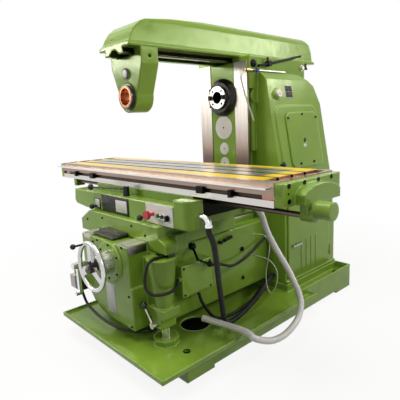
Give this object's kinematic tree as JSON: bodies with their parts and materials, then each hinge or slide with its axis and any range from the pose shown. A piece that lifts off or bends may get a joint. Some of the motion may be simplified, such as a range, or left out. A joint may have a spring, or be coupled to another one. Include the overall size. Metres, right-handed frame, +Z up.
{
  "type": "horizontal milling machine",
  "caption": "Floor-standing knee-type horizontal milling machine: dovetailed overarm with arbor support, taper spindle, T-slot table on cross and vertical slides, handwheel and feed levers.",
  "frame": {"origin": "on the floor under the spindle axis, in the plane of the column's front slideway", "axes": "+X operator's right along the table, +Y back through the column, +Z up"},
  "size_m": [1.912, 1.811, 1.625],
  "materials": {
    "green_paint": "gloss enamel over cast iron",
    "ground_steel": "ground",
    "black_steel": "blackened",
    "bronze": "turned",
    "chrome": "polished",
    "black_plastic": "moulded",
    "pale_cap": "satin",
    "pale_panel": "satin",
    "sight_glass": "clear centre in a white ring",
    "motor_grey": "primed",
    "blue_plastic": "moulded",
    "red_plastic": "moulded",
    "green_plastic": "moulded",
    "pale_hose": "clear reinforced hose",
    "black_rubber": "extruded"
  },
  "bodies": {
    "frame": {"base": "green_paint", "column": "green_paint", "column_ways": "ground_steel", "spindle_cover": "black_steel", "strip_discs": "pale_cap", "spindle_bearings": "ground_steel", "main_motor": "motor_grey", "gearbox_cover": "green_paint", "electrics_panel": "pale_panel", "sight_glass": "sight_glass", "coolant_pipe": "bronze", "coolant_tube": "pale_hose", "brace_post": "ground_steel", "elevating_nut": "bronze", "conduit": "black_rubber", "column_cables": "black_rubber", "drain_hose": "pale_hose"},
    "spindle": {"spindle": "ground_steel", "drive_keys": "black_steel", "spindle_gear": "ground_steel"},
    "rotor": {"motor_rotor": "ground_steel"},
    "overarm": {"overarm": "green_paint"},
    "arbor_support": {"arbor_support": "green_paint", "arbor_bush": "bronze"},
    "overarm_lever": {"overarm_lever": "black_steel"},
    "coolant_valve": {"coolant_valve": "blue_plastic"},
    "cabinet_door": {"cabinet_door": "green_paint"},
    "door_lock": {"door_lock": "chrome"},
    "knee": {"knee": "green_paint", "knee_ways": "ground_steel", "junction_box": "green_paint", "switch_boxes": "black_plastic", "knee_cables": "black_rubber"},
    "cross_feed": {"handwheel": "chrome", "cross_screw": "ground_steel"},
    "wheel_handle": {"wheel_handle": "black_plastic"},
    "elevating_crank": {"elevating_crank": "chrome"},
    "elevating_screw": {"elevating_screw": "ground_steel"},
    "feed_lever": {"feed_lever": "black_steel"},
    "knee_clamp_lever": {"knee_clamp_lever": "black_steel"},
    "post_clamp_lever": {"post_clamp_lever": "chrome"},
    "stop_button": {"stop_button": "red_plastic"},
    "saddle": {"saddle": "green_paint", "feed_box": "green_paint", "control_panel": "pale_panel", "conduit_elbow": "chrome", "feed_nuts": "bronze"},
    "table_lever": {"table_lever": "black_plastic"},
    "panel_stop": {"panel_stop": "red_plastic"},
    "panel_start": {"panel_start": "green_plastic"},
    "panel_jog": {"panel_jog": "black_plastic"},
    "selector": {"selector": "black_plastic"},
    "left_knob": {"left_knob": "black_plastic"},
    "right_knob": {"right_knob": "black_plastic"},
    "table": {"table": "ground_steel", "table_ends": "green_paint", "trip_dogs": "black_steel", "table_lip": "pale_panel"},
    "lead_screw": {"lead_screw": "ground_steel"},
    "feed_shaft": {"feed_shaft": "black_steel"}
  },
  "joints": [
    {"name": "spindle_turn", "type": "hinge", "parent": "frame", "child": "spindle", "pos_m": [0, 0, 1.242], "axis": [0, 1, 0], "continuous": true},
    {"name": "rotor_turn", "type": "hinge", "parent": "frame", "child": "rotor", "pos_m": [0, 0, 1.0365], "axis": [0, 1, 0], "continuous": true},
    {"name": "overarm_slide", "type": "slide", "parent": "frame", "child": "overarm", "axis": [0, 1, 0], "range_m": [-0.1, 0.25]},
    {"name": "support_slide", "type": "slide", "parent": "overarm", "child": "arbor_support", "axis": [0, 1, 0], "range_m": [-0.05, 0.2]},
    {"name": "overarm_lock", "type": "hinge", "parent": "frame", "child": "overarm_lever", "pos_m": [0.225, 0.16, 1.416], "axis": [1, 0, 0], "range_deg": [-15, 5]},
    {"name": "valve_turn", "type": "hinge", "parent": "frame", "child": "coolant_valve", "pos_m": [0.233, 0.044, 1.376], "axis": [1, 0, 0], "range_deg": [-90, 0]},
    {"name": "door_swing", "type": "hinge", "parent": "frame", "child": "cabinet_door", "pos_m": [0.396, 0.553, 0.4], "axis": [0, 0, 1], "range_deg": [0, 110]},
    {"name": "lock_turn", "type": "hinge", "parent": "cabinet_door", "child": "door_lock", "pos_m": [0.396, 0.171, 0.37], "axis": [1, 0, 0], "range_deg": [0, 90]},
    {"name": "knee_slide", "type": "slide", "parent": "frame", "child": "knee", "axis": [0, 0, 1], "range_m": [-0.02, 0.28], "deforming": ["conduit", "column_cables", "drain_hose"]},
    {"name": "saddle_slide", "type": "slide", "parent": "knee", "child": "saddle", "axis": [0, 1, 0], "range_m": [-0.085, 0.15], "deforming": ["conduit", "drain_hose"]},
    {"name": "table_slide", "type": "slide", "parent": "saddle", "child": "table", "axis": [1, 0, 0], "range_m": [-0.42, 0.42]},
    {"name": "cross_feed_turn", "type": "hinge", "parent": "knee", "child": "cross_feed", "pos_m": [0.048, 0, 0.471], "axis": [0, 1, 0], "continuous": true},
    {"name": "handle_turn", "type": "hinge", "parent": "cross_feed", "child": "wheel_handle", "pos_m": [-0.00458, -0.962, 0.56989], "axis": [0, 1, 0], "continuous": true},
    {"name": "crank_turn", "type": "hinge", "parent": "knee", "child": "elevating_crank", "pos_m": [-0.196, 0, 0.408], "axis": [0, 1, 0], "continuous": true},
    {"name": "lift_screw_turn", "type": "hinge", "parent": "knee", "child": "elevating_screw", "pos_m": [-0.06, -0.4, 0], "axis": [0, 0, 1], "continuous": true},
    {"name": "feed_lever_turn", "type": "hinge", "parent": "knee", "child": "feed_lever", "pos_m": [0.27, -0.545, 0.514], "axis": [1, 0, 0], "range_deg": [-15, 15]},
    {"name": "knee_clamp_turn", "type": "hinge", "parent": "knee", "child": "knee_clamp_lever", "pos_m": [0.284, -0.345, 0.484], "axis": [1, 0, 0], "range_deg": [-45, 20]},
    {"name": "post_clamp_turn", "type": "hinge", "parent": "knee", "child": "post_clamp_lever", "pos_m": [0.305, -0.82, 0.212], "axis": [0, 1, 0], "range_deg": [-4, 40]},
    {"name": "stop_press", "type": "slide", "parent": "knee", "child": "stop_button", "axis": [0, 0, 1], "range_m": [-0.006, 0], "stiffness_N_per_m": 800},
    {"name": "table_lever_turn", "type": "hinge", "parent": "saddle", "child": "table_lever", "pos_m": [-0.05, -0.682, 0.78], "axis": [0, 0, 1], "range_deg": [-12, 12]},
    {"name": "panel_stop_press", "type": "slide", "parent": "saddle", "child": "panel_stop", "axis": [0, 1, 0], "range_m": [0, 0.005], "stiffness_N_per_m": 800},
    {"name": "panel_start_press", "type": "slide", "parent": "saddle", "child": "panel_start", "axis": [0, 1, 0], "range_m": [0, 0.004], "stiffness_N_per_m": 800},
    {"name": "panel_jog_press", "type": "slide", "parent": "saddle", "child": "panel_jog", "axis": [0, 1, 0], "range_m": [0, 0.004], "stiffness_N_per_m": 800},
    {"name": "selector_turn", "type": "hinge", "parent": "saddle", "child": "selector", "pos_m": [0.338, -0.72, 0.696], "axis": [0, 1, 0], "range_deg": [-45, 45]},
    {"name": "left_knob_pull", "type": "slide", "parent": "saddle", "child": "left_knob", "axis": [0, 1, 0], "range_m": [-0.02, 0]},
    {"name": "right_knob_pull", "type": "slide", "parent": "saddle", "child": "right_knob", "axis": [0, 1, 0], "range_m": [-0.02, 0]},
    {"name": "lead_screw_turn", "type": "hinge", "parent": "table", "child": "lead_screw", "pos_m": [0, -0.443, 0.827], "axis": [1, 0, 0], "continuous": true},
    {"name": "feed_shaft_turn", "type": "hinge", "parent": "table", "child": "feed_shaft", "pos_m": [0, -0.532, 0.752], "axis": [1, 0, 0], "continuous": true}
  ],
  "couplings": [
    {"joint": "rotor_turn", "follows": "spindle_turn", "ratio": -0.86364},
    {"joint": "cross_feed_turn", "follows": "saddle_slide", "rad_per_m": 1047.2},
    {"joint": "crank_turn", "follows": "knee_slide", "rad_per_m": 2094.4},
    {"joint": "lift_screw_turn", "follows": "knee_slide", "rad_per_m": -1047.2},
    {"joint": "lead_screw_turn", "follows": "table_slide", "rad_per_m": 1047.2},
    {"joint": "feed_shaft_turn", "follows": "table_slide", "rad_per_m": -1047.2}
  ]
}
